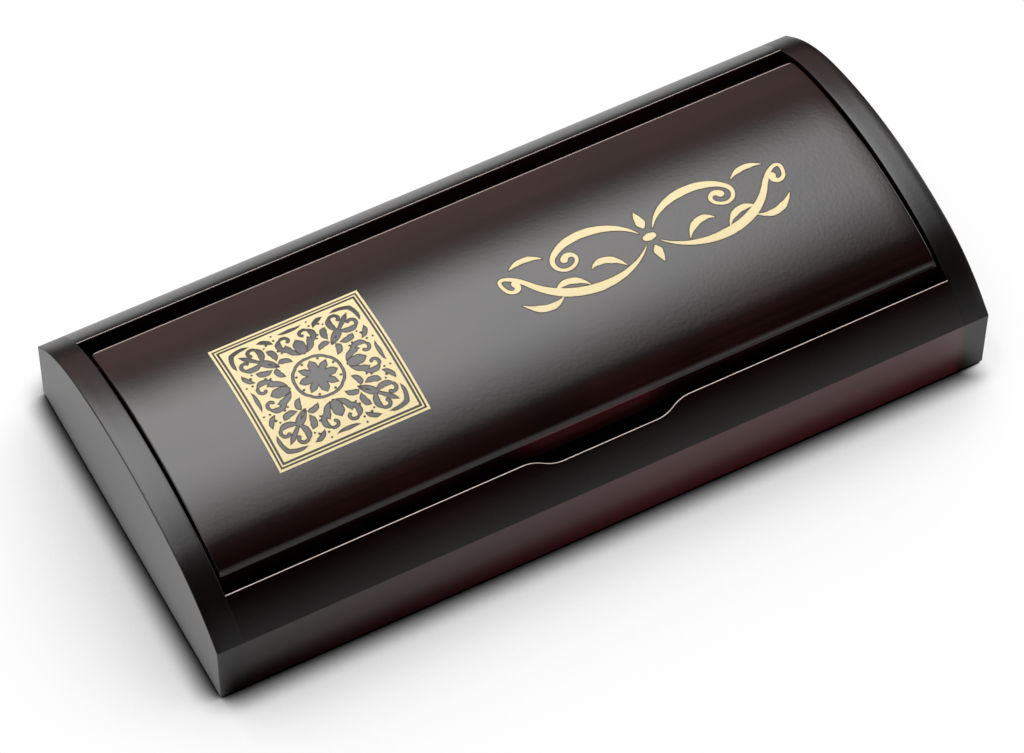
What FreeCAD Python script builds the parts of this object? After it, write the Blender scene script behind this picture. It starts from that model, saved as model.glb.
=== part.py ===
"""Arched keepsake box whose curved lid swings up on two blind pins.

The case is two full-depth end boards with a front and a back board dowelled between them, a bottom panel in
grooves, a felt base and a felt-lined inside.  The top of the case and the lid follow one three-centre arch.
The lid sits in the opening between the boards and turns on two pins near its back edge.

Frame: +X along the length (right end), +Y to the back, +Z up; the origin is the middle of the footprint.
All lengths are millimetres.
"""
import FreeCAD, Part
import math
import os

from FreeCAD import Vector

# Overall form of the wooden case
LENGTH = 200.0
WIDTH = 95.0
SIDE_HEIGHT = 18.0            # upright part of the front and back faces, felt not counted
ARCH_RISE = 16.5              # crown of the arch above the upright faces
CROWN_HALF_ANGLE = 15.2       # slope, in degrees, where the flat crown arc meets the tight flank arcs
SPRING_ANGLE = 47.4           # slope, in degrees, where the arch meets the upright faces

# Boards
END_THICKNESS = 6.6
FRONT_THICKNESS = 9.0
BACK_THICKNESS = 8.2
EDGE_ROUND = 0.25             # outer edges of the end boards
ARRIS_ROUND = 0.25            # edges around the opening

# Finger notch in the top inside edge of the front board
NOTCH_FLAT = 24.2
NOTCH_RAMP = 9.6              # length of each S-shaped end
NOTCH_DEPTH = 2.1             # front to back
NOTCH_OFFSET = 3.0            # to the right of the middle
NOTCH_FLOOR = 17.0            # its lower end, above the underside of the wood

# Bottom panel in its grooves
PANEL_THICKNESS = 3.0
PANEL_IN_GROOVE = 3.0
PANEL_HEIGHT = 2.0            # underside of the panel above the underside of the wood
PANEL_CLEARANCE = 0.1         # above the panel and past its edges

# Felt under the box, card-backed felt inside it
FELT_THICKNESS = 0.8
FELT_MARGIN = 1.5
LINING_THICKNESS = 1.2
LINING_HEIGHT = 10.0          # wall linings above the bottom panel
LINING_CLEARANCE = 0.1

# Dowels in the four corner joints
DOWEL_DIAMETER = 4.0
DOWEL_IN_END = 4.2
DOWEL_IN_BOARD = 12.0
DOWEL_LOW = 8.0               # lower row above the underside of the wood
DOWEL_SPACING = 6.5
DOWEL_INSET = 4.2             # centre line from the outer face of the front or back board
HOLE_SPARE = 0.3              # free depth past the end of a dowel or pin

# Lid
LID_THICKNESS = 6.4
LID_RECESS = 0.2              # lid surface below the arch of the case
LID_SIDE_GAP = 0.75
LID_FRONT_GAP = 3.7
LID_BACK_GAP = 6.0
LID_NOSE = 2.0                # round along the front edge
LID_CORNER = 1.5              # back corners in plan
LID_ROUND = 0.5               # all other edges of the outer face

# Pivot pins and the cleats that the closed lid rests on
PIN_DIAMETER = 2.5
PIN_IN_END = 4.0
PIN_IN_LID = 8.0
PIN_SETBACK = 3.6             # pin centre in front of the back edge of the lid
PIN_DEPTH = 4.1               # pin centre below the outer face of the lid
PIN_RUNNING = 0.05            # radial clearance in the end boards
REST_WIDTH = 4.0
REST_LENGTH = 12.0
REST_DEPTH = 3.5              # height of a cleat at its front
REST_SETBACK = 2.0            # behind the front edge of the lid
REST_CLEARANCE = 0.3          # film of lacquer and dust under the lid

# Gold fills in the lid
FILL_DEPTH = 0.3
CREST_LENGTH = 38.0
CREST_WIDTH = 37.2
CREST_SETBACK = 22.8          # from the left edge of the lid
SCROLL_LENGTH = 76.0
SCROLL_HEIGHT = 17.0
SCROLL_STROKE = 1.7           # thickest part of a stroke
SCROLL_SETBACK = 20.0         # from the right edge of the lid

# Worked-out places
WOOD_BOTTOM = FELT_THICKNESS
SPRING_HEIGHT = WOOD_BOTTOM + SIDE_HEIGHT
HALF_LENGTH = LENGTH / 2
HALF_WIDTH = WIDTH / 2
INNER_X = HALF_LENGTH - END_THICKNESS
INNER_FRONT = -HALF_WIDTH + FRONT_THICKNESS
INNER_BACK = HALF_WIDTH - BACK_THICKNESS
PANEL_BOTTOM = WOOD_BOTTOM + PANEL_HEIGHT
PANEL_TOP = PANEL_BOTTOM + PANEL_THICKNESS
LINING_TOP = PANEL_TOP + LINING_HEIGHT
LID_X = INNER_X - LID_SIDE_GAP
LID_FRONT = INNER_FRONT + LID_FRONT_GAP
LID_BACK = INNER_BACK - LID_BACK_GAP
PIN_Y = LID_BACK - PIN_SETBACK
ABOVE = SPRING_HEIGHT + ARCH_RISE + 10.0    # a level clear of the whole box
BELOW = -10.0
SIDES = (("left", -1), ("right", 1))


def arch_radii():
    """Crown and flank radii that give the width, rise and both slopes with tangent arcs."""
    blend, spring = math.radians(CROWN_HALF_ANGLE), math.radians(SPRING_ANGLE)
    run_crown, run_flank = math.sin(blend), math.sin(spring) - math.sin(blend)
    fall_crown, fall_flank = 1 - math.cos(blend), math.cos(blend) - math.cos(spring)
    scale = run_crown * fall_flank - run_flank * fall_crown
    crown = (HALF_WIDTH * fall_flank - ARCH_RISE * run_flank) / scale
    flank = (ARCH_RISE * run_crown - HALF_WIDTH * fall_crown) / scale
    return crown, flank


CROWN_RADIUS, FLANK_RADIUS = arch_radii()
CROWN_Z = SPRING_HEIGHT + ARCH_RISE - CROWN_RADIUS
FLANK_Y = (CROWN_RADIUS - FLANK_RADIUS) * math.sin(math.radians(CROWN_HALF_ANGLE))
FLANK_Z = CROWN_Z + (CROWN_RADIUS - FLANK_RADIUS) * math.cos(math.radians(CROWN_HALF_ANGLE))


def arch_point(angle, drop=0.0, x=0.0):
    """Point of the arch where its slope is angle degrees (negative to the front), drop below its surface."""
    turn = math.radians(angle)
    if abs(angle) <= CROWN_HALF_ANGLE:
        radius = CROWN_RADIUS - drop
        return Vector(x, radius * math.sin(turn), CROWN_Z + radius * math.cos(turn))
    radius = FLANK_RADIUS - drop
    side = math.copysign(FLANK_Y, angle)
    return Vector(x, side + radius * math.sin(turn), FLANK_Z + radius * math.cos(turn))


def arch_at(y, drop=0.0):
    """Height and slope in radians of the arch at y, drop below its surface."""
    crown = CROWN_RADIUS - drop
    if abs(y) <= crown * math.sin(math.radians(CROWN_HALF_ANGLE)):
        slope = math.asin(y / crown)
        return CROWN_Z + crown * math.cos(slope), slope
    flank = FLANK_RADIUS - drop
    slope = math.asin((abs(y) - FLANK_Y) / flank)
    return FLANK_Z + flank * math.cos(slope), math.copysign(slope, y)


def under_arch(x_low, x_high, drop=0.0, floor=BELOW):
    """Solid between two X planes, under the arch and above floor."""
    marks = [-SPRING_ANGLE, -CROWN_HALF_ANGLE, CROWN_HALF_ANGLE, SPRING_ANGLE]
    edges = []
    for start, end in zip(marks, marks[1:]):
        middle = arch_point((start + end) / 2, drop, x_low)
        edges.append(Part.Arc(arch_point(start, drop, x_low), middle, arch_point(end, drop, x_low)).toShape())
    front, back = arch_point(-SPRING_ANGLE, drop, x_low), arch_point(SPRING_ANGLE, drop, x_low)
    back_foot, front_foot = Vector(x_low, back.y, floor), Vector(x_low, front.y, floor)
    for start, end in ((back, back_foot), (back_foot, front_foot), (front_foot, front)):
        edges.append(Part.LineSegment(start, end).toShape())
    face = Part.Face(Part.Wire(edges))
    return face.extrude(Vector(x_high - x_low, 0, 0))


def block(x_low, x_high, y_low, y_high, z_low, z_high):
    """Box between three pairs of planes."""
    return Part.makeBox(x_high - x_low, y_high - y_low, z_high - z_low, Vector(x_low, y_low, z_low))


def mirrored(shape):
    """The same shape at the other end of the box."""
    return shape.mirror(Vector(0, 0, 0), Vector(1, 0, 0))


def edges_where(shape, test):
    """Edges whose every vertex passes test."""
    return [edge for edge in shape.Edges if all(test(vertex.Point) for vertex in edge.Vertexes)]


def near(value, target):
    return abs(value - target) < 0.01


def on_arch(point, drop=0.0):
    """True for a point on the arch surface, drop below it."""
    return near(point.z, arch_at(point.y, drop)[0])


def panel_blank(grow=0.0):
    """Bottom panel; grow gives the groove that holds it."""
    reach = PANEL_IN_GROOVE + grow
    return block(-INNER_X - reach, INNER_X + reach, INNER_FRONT - reach, INNER_BACK + reach,
                 PANEL_BOTTOM, PANEL_TOP + grow)


def dowel_row(side, spare=0.0):
    """Dowels of one end of the box; spare gives the holes, free past both ends."""
    low = INNER_X - DOWEL_IN_BOARD - spare
    length = DOWEL_IN_END + DOWEL_IN_BOARD + 2 * spare
    row = []
    for y in (-HALF_WIDTH + DOWEL_INSET, HALF_WIDTH - DOWEL_INSET):
        for step in (0, 1):
            start = Vector(low, y, WOOD_BOTTOM + DOWEL_LOW + step * DOWEL_SPACING)
            row.append(Part.makeCylinder(DOWEL_DIAMETER / 2, length, start, Vector(1, 0, 0)))
    if side < 0:
        row = [mirrored(dowel) for dowel in row]
    return Part.makeCompound(row)


def pin_centre():
    """Y and Z of the pin centre, a setback in front of the lid's back edge and a depth below its outer face."""
    height, _ = arch_at(PIN_Y, LID_RECESS + PIN_DEPTH)
    return PIN_Y, height


def pin(side, radius, reach_end, reach_lid):
    """Cylinder on the pivot axis, from inside the lid to inside the end board."""
    y, z = pin_centre()
    low = LID_X - reach_lid
    shape = Part.makeCylinder(radius, INNER_X + reach_end - low, Vector(low, y, z), Vector(1, 0, 0))
    return shape if side > 0 else mirrored(shape)


def end_board(side):
    """Full-depth end board with an arched top, grooved for the panel and bored for dowels and pin."""
    board = under_arch(INNER_X, HALF_LENGTH, floor=WOOD_BOTTOM)
    outer = edges_where(board, lambda p: near(p.x, HALF_LENGTH))
    board = board.makeFillet(EDGE_ROUND, outer)
    board = board.cut(panel_blank(PANEL_CLEARANCE))
    board = board.cut(dowel_row(1, HOLE_SPARE))
    board = board.cut(pin(1, PIN_DIAMETER / 2 + PIN_RUNNING, PIN_IN_END + HOLE_SPARE, 0))
    return board if side > 0 else mirrored(board)


def notch_cutter():
    """Finger notch: a flat with two S-shaped ends in plan, open to the inside and to the top."""
    wall, foot = INNER_FRONT, INNER_FRONT - NOTCH_DEPTH
    outer, inner = NOTCH_FLAT / 2 + NOTCH_RAMP, NOTCH_FLAT / 2
    middle = (outer + inner) / 2
    half = (wall + foot) / 2
    radius = (NOTCH_RAMP ** 2 + NOTCH_DEPTH ** 2) / (4 * NOTCH_DEPTH)
    turn = math.asin(NOTCH_RAMP / 2 / radius) / 2
    step_x, step_y = radius * math.sin(turn), radius * (1 - math.cos(turn))
    level = WOOD_BOTTOM + NOTCH_FLOOR
    spare = 1.0

    def at(x, y):
        return Vector(x + NOTCH_OFFSET, y, level)

    edges = []
    for sign in (-1, 1):
        edges.append(Part.Arc(at(sign * outer, wall), at(sign * (outer - step_x), wall - step_y),
                              at(sign * middle, half)).toShape())
        edges.append(Part.Arc(at(sign * middle, half), at(sign * (inner + step_x), foot + step_y),
                              at(sign * inner, foot)).toShape())
        edges.append(Part.LineSegment(at(sign * outer, wall), at(sign * outer, wall + spare)).toShape())
    edges.append(Part.LineSegment(at(-inner, foot), at(inner, foot)).toShape())
    edges.append(Part.LineSegment(at(-outer, wall + spare), at(outer, wall + spare)).toShape())
    outline = Part.Wire(Part.__sortEdges__(edges))
    return Part.Face(outline).extrude(Vector(0, 0, ABOVE - level))


def long_board(y_low, y_high):
    """Board between the end boards, its top following the arch, grooved and bored at its ends."""
    board = under_arch(-INNER_X, INNER_X, floor=WOOD_BOTTOM)
    board = board.common(block(-INNER_X, INNER_X, y_low, y_high, BELOW, ABOVE))
    board = board.cut(panel_blank(PANEL_CLEARANCE))
    for _, side in SIDES:
        board = board.cut(dowel_row(side, HOLE_SPARE))
    return board


def rounded_arris(board, test):
    """Round the edges of a board that meet the arch surface and pass test."""
    edges = edges_where(board, lambda p: on_arch(p) and test(p))
    edges = [edge for edge in edges if not near(edge.BoundBox.XLength, 0)]
    return board.makeFillet(ARRIS_ROUND, edges)


def front_board():
    board = long_board(-HALF_WIDTH, INNER_FRONT).cut(notch_cutter())
    return rounded_arris(board, lambda p: p.y > -HALF_WIDTH + 1)


def back_board():
    board = long_board(INNER_BACK, HALF_WIDTH)
    return rounded_arris(board, lambda p: near(p.y, INNER_BACK))


def arch_skin(x_low, x_high, drop, thickness):
    """Layer of the arch between two depths."""
    return under_arch(x_low, x_high, drop).cut(under_arch(x_low, x_high, drop + thickness))


def crest_fill():
    """Square gold fill, flush with the lid surface."""
    left = -LID_X + CREST_SETBACK
    middle = (LID_FRONT + LID_BACK) / 2
    skin = arch_skin(left, left + CREST_LENGTH, LID_RECESS, FILL_DEPTH)
    return skin.common(block(left, left + CREST_LENGTH, middle - CREST_WIDTH / 2, middle + CREST_WIDTH / 2,
                             BELOW, ABOVE))


def stroke(start, end, bulge, thickness):
    """Pen stroke in plan: the crescent between two arcs over one chord, thickest in its middle."""
    chord = end - start
    middle = (start + end) / 2
    across = Vector(-chord.y, chord.x, 0).normalize()
    outer = Part.Arc(start, middle + across * (bulge + thickness / 2), end).toShape()
    inner = Part.Arc(end, middle + across * (bulge - thickness / 2), start).toShape()
    return Part.Face(Part.Wire([outer, inner])).extrude(Vector(0, 0, ABOVE - BELOW))


def scroll_fill():
    """Symmetric swash of six gold pen strokes, flush with the lid surface."""
    centre_x = LID_X - SCROLL_SETBACK - SCROLL_LENGTH / 2
    centre_y = (LID_FRONT + LID_BACK) / 2
    reach, rise = SCROLL_LENGTH / 2, SCROLL_HEIGHT / 2
    strokes = []
    for side in (-1, 1):
        def at(along, up):
            return Vector(centre_x + side * along * reach, centre_y + up * rise, BELOW)

        def bend(amount):
            return side * amount * rise

        strokes.append(stroke(at(0.06, -0.55), at(1.0, 0.3), bend(-0.55), SCROLL_STROKE))
        strokes.append(stroke(at(0.1, 0.1), at(0.78, 0.75), bend(0.5), SCROLL_STROKE))
        strokes.append(stroke(at(0.14, -0.9), at(0.6, -0.75), bend(-0.12), SCROLL_STROKE))
    skin = arch_skin(centre_x - reach, centre_x + reach, LID_RECESS, FILL_DEPTH)
    return Part.makeCompound([skin.common(shape) for shape in strokes])


def lid_plan():
    """Outline of the lid in plan, tall: square front corners and rounded back corners."""
    plan = block(-LID_X, LID_X, LID_FRONT, LID_BACK, BELOW, ABOVE)
    corners = edges_where(plan, lambda p: near(p.y, LID_BACK) and abs(p.x) > LID_X / 2)
    corners = [edge for edge in corners if near(edge.BoundBox.XLength, 0)]
    return plan.makeFillet(LID_CORNER, corners)


def lid_panel():
    """Curved lid: rounded nose along the front, softened edges, bored for the pins, engraved for the fills."""
    lid = arch_skin(-LID_X, LID_X, LID_RECESS, LID_THICKNESS).common(lid_plan())
    nose = edges_where(lid, lambda p: near(p.y, LID_FRONT) and on_arch(p, LID_RECESS))
    lid = lid.makeFillet(LID_NOSE, nose)
    rim = edges_where(lid, lambda p: on_arch(p, LID_RECESS))
    rim = [edge for edge in rim if not near(edge.BoundBox.XLength, 2 * LID_X)]
    lid = lid.makeFillet(LID_ROUND, rim)
    for _, side in SIDES:
        lid = lid.cut(pin(side, PIN_DIAMETER / 2, 0, PIN_IN_LID + HOLE_SPARE))
    return lid.cut(crest_fill()).cut(scroll_fill())


def lid_rest(side):
    """Cleat on an end board, under a front corner of the lid."""
    front = LID_FRONT + REST_SETBACK
    drop = LID_RECESS + LID_THICKNESS + REST_CLEARANCE
    top, _ = arch_at(front, drop)
    cleat = under_arch(INNER_X - REST_WIDTH, INNER_X, drop)
    cleat = cleat.common(block(INNER_X - REST_WIDTH, INNER_X, front, front + REST_LENGTH, top - REST_DEPTH, ABOVE))
    return cleat if side > 0 else mirrored(cleat)


def floor_lining():
    inset = LINING_THICKNESS + 2 * LINING_CLEARANCE
    return block(-INNER_X + inset, INNER_X - inset, INNER_FRONT + inset, INNER_BACK - inset,
                 PANEL_TOP, PANEL_TOP + LINING_THICKNESS)


def long_lining(wall, inward):
    """Wall lining along the front or back board."""
    outer = wall + inward * LINING_CLEARANCE
    inner = outer + inward * LINING_THICKNESS
    ends = INNER_X - LINING_CLEARANCE
    return block(-ends, ends, min(outer, inner), max(outer, inner), PANEL_TOP, LINING_TOP)


def end_lining(side):
    """Wall lining of an end board, between the two long linings."""
    inset = LINING_THICKNESS + 2 * LINING_CLEARANCE
    outer = INNER_X - LINING_CLEARANCE
    lining = block(outer - LINING_THICKNESS, outer, INNER_FRONT + inset, INNER_BACK - inset, PANEL_TOP, LINING_TOP)
    return lining if side > 0 else mirrored(lining)


def base_felt():
    half_x, half_y = HALF_LENGTH - FELT_MARGIN, HALF_WIDTH - FELT_MARGIN
    return block(-half_x, half_x, -half_y, half_y, 0, WOOD_BOTTOM)


def all_pieces():
    pieces = {
        "front_board": front_board(),
        "back_board": back_board(),
        "bottom_panel": panel_blank(),
        "base_felt": base_felt(),
        "corner_dowels": Part.makeCompound([dowel_row(side) for _, side in SIDES]),
        "floor_lining": floor_lining(),
        "front_lining": long_lining(INNER_FRONT, 1),
        "back_lining": long_lining(INNER_BACK, -1),
        "lid_panel": lid_panel(),
        "crest_fill": crest_fill(),
        "scroll_fill": scroll_fill(),
    }
    for name, side in SIDES:
        pieces[name + "_end"] = end_board(side)
        pieces[name + "_lining"] = end_lining(side)
        pieces["lid_rest_" + name] = lid_rest(side)
        pieces["pivot_pin_" + name] = pin(side, PIN_DIAMETER / 2, PIN_IN_END, PIN_IN_LID)
    return pieces


def main():
    os.makedirs("parts", exist_ok=True)
    for name, shape in all_pieces().items():
        shape.exportStep("parts/" + name + ".step")
        solids = shape.Solids
        volume = sum(solid.Volume for solid in solids)
        print(f"{name}: {len(solids)} solid(s), {volume:.1f} mm3, valid {shape.isValid()}")
    print("arch radii", round(CROWN_RADIUS, 2), round(FLANK_RADIUS, 2), "pin at", pin_centre())


main()
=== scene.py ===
"""Looks of the arched keepsake box: lacquered boards and lid, gold-filled engraving, felt, a plain studio.

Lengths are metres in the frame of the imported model: +X along the box, +Y to the back, +Z up.
"""

import math

import bmesh
import bpy
import numpy as np
from mathutils import Matrix, Vector


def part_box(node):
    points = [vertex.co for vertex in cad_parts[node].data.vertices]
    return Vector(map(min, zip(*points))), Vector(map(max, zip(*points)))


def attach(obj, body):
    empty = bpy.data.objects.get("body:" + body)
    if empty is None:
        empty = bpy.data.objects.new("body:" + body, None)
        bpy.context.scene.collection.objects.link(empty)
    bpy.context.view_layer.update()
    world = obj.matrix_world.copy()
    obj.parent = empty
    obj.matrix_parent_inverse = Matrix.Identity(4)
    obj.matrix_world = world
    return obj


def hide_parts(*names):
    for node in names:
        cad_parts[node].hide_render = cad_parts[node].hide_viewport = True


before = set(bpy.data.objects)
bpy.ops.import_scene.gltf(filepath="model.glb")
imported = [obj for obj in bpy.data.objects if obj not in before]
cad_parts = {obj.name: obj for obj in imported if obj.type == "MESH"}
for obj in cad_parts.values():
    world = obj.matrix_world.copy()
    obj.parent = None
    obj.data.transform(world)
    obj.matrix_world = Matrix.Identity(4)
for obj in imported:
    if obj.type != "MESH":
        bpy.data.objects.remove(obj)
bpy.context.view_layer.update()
MM = 0.001

# ---------------------------------------------------------------- sizes, from the frame where it has them
end_low, end_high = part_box("right_end")
INNER_X, HALF_LENGTH = end_low.x, end_high.x
HALF_WIDTH, CROWN = end_high.y, end_high.z
WOOD_BOTTOM = end_low.z
INNER_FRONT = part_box("front_board")[1].y
INNER_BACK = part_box("back_board")[0].y
lid_low, lid_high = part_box("lid_panel")
LID_X, LID_FRONT, LID_BACK = lid_high.x, lid_low.y, lid_high.y
LID_RECESS = CROWN - lid_high.z

SIDE_HEIGHT = 18.0 * MM                # upright part of the front and back faces
CROWN_HALF_ANGLE = math.radians(15.2)  # slope where the crown arc meets the flank arcs
SPRING_ANGLE = math.radians(47.4)      # slope where the arch meets the upright faces
LID_THICKNESS = 6.4 * MM
LID_NOSE = 1.5 * MM                    # how far the round along the lid's front edge reaches back
LID_NOSE_DEPTH = 1.9 * MM              # and down
LID_CORNER = 1.5 * MM                  # its back corners in plan
LID_ROUND = 0.5 * MM                   # its side edges
LID_BACK_ROUND = 1.0 * MM              # its back edge
EDGE_ROUND = 0.25 * MM                 # outer edges of the end boards
ARRIS_ROUND = 0.25 * MM                # long edges of the opening
END_ARRIS = 0.15 * MM                  # its short edges, on the end boards
JOINT_ARRIS = 0.02 * MM                # the same edges where they lie against the front and back boards
ARRIS_EASE = 0.8 * MM                  # over which the one edge becomes the other
LID_ROLL = (5.0 * MM, 0.09 * MM)       # reach and drop of the soft fall-off towards the lid's sides
END_ROLL = (2.3 * MM, 0.17 * MM)       # the same on the end boards, towards their outer faces
END_DISH = (2.4 * MM, 0.05 * MM)       # and towards the opening
ROLL_EASE = 2.0 * MM                   # over which the end boards' fall-off starts above the upright faces
NOTCH_FLAT = 24.2 * MM                 # finger notch: its full depth
NOTCH_RAMP = 9.6 * MM                  # and the ramp at each end
NOTCH_DEPTH = 2.1 * MM
NOTCH_OFFSET = 3.0 * MM                # to the right of the middle
NOTCH_FLOOR = WOOD_BOTTOM + 17.0 * MM
GROOVE_DEPTH = 3.1 * MM                # the groove that holds the bottom panel
GROOVE_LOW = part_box("bottom_panel")[0].z
GROOVE_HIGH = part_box("bottom_panel")[1].z + 0.1 * MM

SPRING_Z = WOOD_BOTTOM + SIDE_HEIGHT
SAME_POINT = 1e-7                      # points closer than this are one
SHARP_ANGLE = math.radians(40)         # faces that meet at more than this have a hard edge between them
FLAT_WEIGHT = 80                       # how far large flat faces rule the shading of their edges, of 100
OUTSIDE = -1e9                         # signed distance of a spot that is far from every figure


def arch_radii():
    """Crown and flank radii of the three-centre arch that has this width, rise and both slopes.

    The runs of the arcs, radius times the difference of the sines of their ends, add up to the half width.
    Their falls, radius times the difference of the cosines, add up to the rise: two equations, two radii.
    """
    rise = CROWN - SPRING_Z
    run_crown = math.sin(CROWN_HALF_ANGLE)
    run_flank = math.sin(SPRING_ANGLE) - math.sin(CROWN_HALF_ANGLE)
    fall_crown = 1 - math.cos(CROWN_HALF_ANGLE)
    fall_flank = math.cos(CROWN_HALF_ANGLE) - math.cos(SPRING_ANGLE)
    scale = run_crown * fall_flank - run_flank * fall_crown
    crown = (HALF_WIDTH * fall_flank - rise * run_flank) / scale
    flank = (rise * run_crown - HALF_WIDTH * fall_crown) / scale
    return crown, flank


CROWN_R, FLANK_R = arch_radii()
CROWN_CZ = CROWN - CROWN_R
FLANK_CY = (CROWN_R - FLANK_R) * math.sin(CROWN_HALF_ANGLE)
FLANK_CZ = CROWN_CZ + (CROWN_R - FLANK_R) * math.cos(CROWN_HALF_ANGLE)


def arch(y, drop=0.0):
    """Height of the arch at y, drop below its surface: a crown circle between two flank circles."""
    y, drop = np.broadcast_arrays(np.asarray(y, float), np.asarray(drop, float))
    crown, flank = CROWN_R - drop, FLANK_R - drop
    on_crown = np.abs(y) <= crown * math.sin(CROWN_HALF_ANGLE)
    crown_z = CROWN_CZ + np.sqrt(np.maximum(crown ** 2 - y ** 2, 0))
    flank_z = FLANK_CZ + np.sqrt(np.maximum(flank ** 2 - (np.abs(y) - FLANK_CY) ** 2, 0))
    return np.where(on_crown, crown_z, flank_z)


def arch_slope(y, drop=0.0):
    """Slope of the arch at y as an angle: its sine is the distance from the arc's centre over the radius."""
    y = np.asarray(y, float)
    crown, flank = CROWN_R - drop, FLANK_R - drop
    on_crown = np.abs(y) <= crown * math.sin(CROWN_HALF_ANGLE)
    crown_a = np.arcsin(np.clip(y / crown, -1, 1))
    flank_a = np.sign(y) * np.arcsin(np.clip((np.abs(y) - FLANK_CY) / flank, -1, 1))
    return np.where(on_crown, crown_a, flank_a)


# ---------------------------------------------------------------- mesh helpers
def new_piece(name, points, faces, wear=None):
    """Mesh object from an array of points and a list of faces.

    Doubles are merged, faces turned outwards, and large flat faces shaded flat up to their rounded edges.
    The last argument, one value for each point, is a painted highlight along rounded edges; it becomes a mesh
    attribute that the lacquer reads.
    """
    mesh = bpy.data.meshes.new(name)
    mesh.from_pydata(np.asarray(points, float).reshape(-1, 3).tolist(), [], faces)
    if wear is not None:
        glint_attribute = mesh.attributes.new("wear", "FLOAT", "POINT")
        glint_attribute.data.foreach_set("value", np.ravel(wear).astype(np.float32))
    piece = bpy.data.objects.new(name, mesh)
    bpy.context.scene.collection.objects.link(piece)
    shape = bmesh.new()
    shape.from_mesh(mesh)
    bmesh.ops.remove_doubles(shape, verts=shape.verts, dist=SAME_POINT)
    bmesh.ops.dissolve_degenerate(shape, edges=shape.edges, dist=SAME_POINT)
    bmesh.ops.recalc_face_normals(shape, faces=shape.faces)
    shape.to_mesh(mesh)
    shape.free()
    mesh.shade_smooth()
    mesh.set_sharp_from_angle(angle=SHARP_ANGLE)
    weighted = piece.modifiers.new("flats shaded flat", "WEIGHTED_NORMAL")
    weighted.keep_sharp = True
    weighted.weight = FLAT_WEIGHT
    return piece


def grid_faces(rows, columns, start=0, wrap=False):
    """Quads of a rows by columns grid of points; wrap joins the last column to the first."""
    r, c = np.meshgrid(np.arange(rows - 1), np.arange(columns if wrap else columns - 1), indexing="ij")
    after = (c + 1) % columns
    corners = [r * columns + c, r * columns + after, (r + 1) * columns + after, (r + 1) * columns + c]
    return (np.stack(corners, -1).reshape(-1, 4) + start).tolist()


def tube_of_rings(name, rings, wear=None):
    """Closed piece from rings (stations, points, 3) of a section, with a flat face over each end ring."""
    stations, count = rings.shape[:2]
    faces = grid_faces(stations, count, wrap=True)
    faces.append(list(range(count))[::-1])
    faces.append([(stations - 1) * count + k for k in range(count)])
    return new_piece(name, rings, faces, wear)


def mitres(outline):
    """Inward mitre at each point of a closed clockwise outline (points, 2), for an inset of 1.

    It is the sum of the inward normals of the two sides that meet there, over 1 plus their dot product.
    """
    ahead = np.roll(outline, -1, 0) - outline
    ahead /= np.linalg.norm(ahead, axis=1)[:, None]
    behind = np.roll(ahead, 1, 0)
    normal_a = np.stack([ahead[:, 1], -ahead[:, 0]], -1)
    normal_b = np.stack([behind[:, 1], -behind[:, 0]], -1)
    return (normal_a + normal_b) / (1 + np.sum(normal_a * normal_b, 1))[:, None]


def between(start, end, count):
    """Evenly spaced values from start to end, one row for each entry of start and end."""
    start, end = np.broadcast_arrays(np.atleast_1d(start).astype(float), np.atleast_1d(end).astype(float))
    return start[:, None] + (end - start)[:, None] * np.linspace(0, 1, count)


# ---------------------------------------------------------------- boards
def end_board(name, side):
    """End board: the outline of the case carried through the board's thickness.

    The outer edge is rounded all the way. The inner edge is rounded where it borders the opening and barely
    broken along the joints. A ring at angle t of the inner round of radius r lies r(1 - cos t) inside the
    face and is inset by r(1 - sin t); at the outer round the two change places. Between the rounds the
    moulded top falls off softly to both sides, with the square of the way: the polishing wheel takes most
    at the edges.
    """
    y = np.concatenate([np.linspace(-HALF_WIDTH, INNER_FRONT, 16, endpoint=False),
                        np.linspace(INNER_FRONT, INNER_BACK, 110, endpoint=False),
                        np.linspace(INNER_BACK, HALF_WIDTH, 16)])
    foot = np.array([[HALF_WIDTH, WOOD_BOTTOM], [-HALF_WIDTH, WOOD_BOTTOM]])
    outline = np.concatenate([np.stack([y, arch(y)], -1), foot])
    inward = mitres(outline)
    opening = np.clip(np.minimum(y - INNER_FRONT, INNER_BACK - y) / ARRIS_EASE, 0, 1)
    dished = np.concatenate([opening, [0, 0]])
    moulded = np.concatenate([np.clip((HALF_WIDTH - np.abs(y)) / ROLL_EASE, 0, 1), [0, 0]])
    inner = np.maximum(dished * END_ARRIS, JOINT_ARRIS)
    outer = np.full(len(outline), EDGE_ROUND)

    def ring(x, inset):
        """Outline at x, drawn in by the inset and by the fall-off there."""
        fall = moulded * END_ROLL[1] * (np.maximum(x - HALF_LENGTH + END_ROLL[0], 0) / END_ROLL[0]) ** 2
        fall = fall + dished * END_DISH[1] * (np.maximum(INNER_X + END_DISH[0] - x, 0) / END_DISH[0]) ** 2
        return np.column_stack([x, outline + inward * (inset + fall)[:, None]])

    angles = np.linspace(0, math.pi / 2, 6)
    rings = [ring(INNER_X + inner * (1 - math.cos(t)), inner * (1 - math.sin(t))) for t in angles]
    start, end = INNER_X + inner, HALF_LENGTH - outer
    through = (0.06, 0.12, 0.18, 0.24, 0.3, 0.45, 0.6, 0.68, 0.74, 0.8, 0.86, 0.92, 0.97)
    rings += [ring(start + (end - start) * share, 0 * inner) for share in through]
    rings += [ring(HALF_LENGTH - outer * (1 - math.sin(t)), outer * (1 - math.cos(t))) for t in angles]
    rings = np.array(rings)
    rings[..., 0] *= side
    return tube_of_rings(name, rings)


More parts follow.
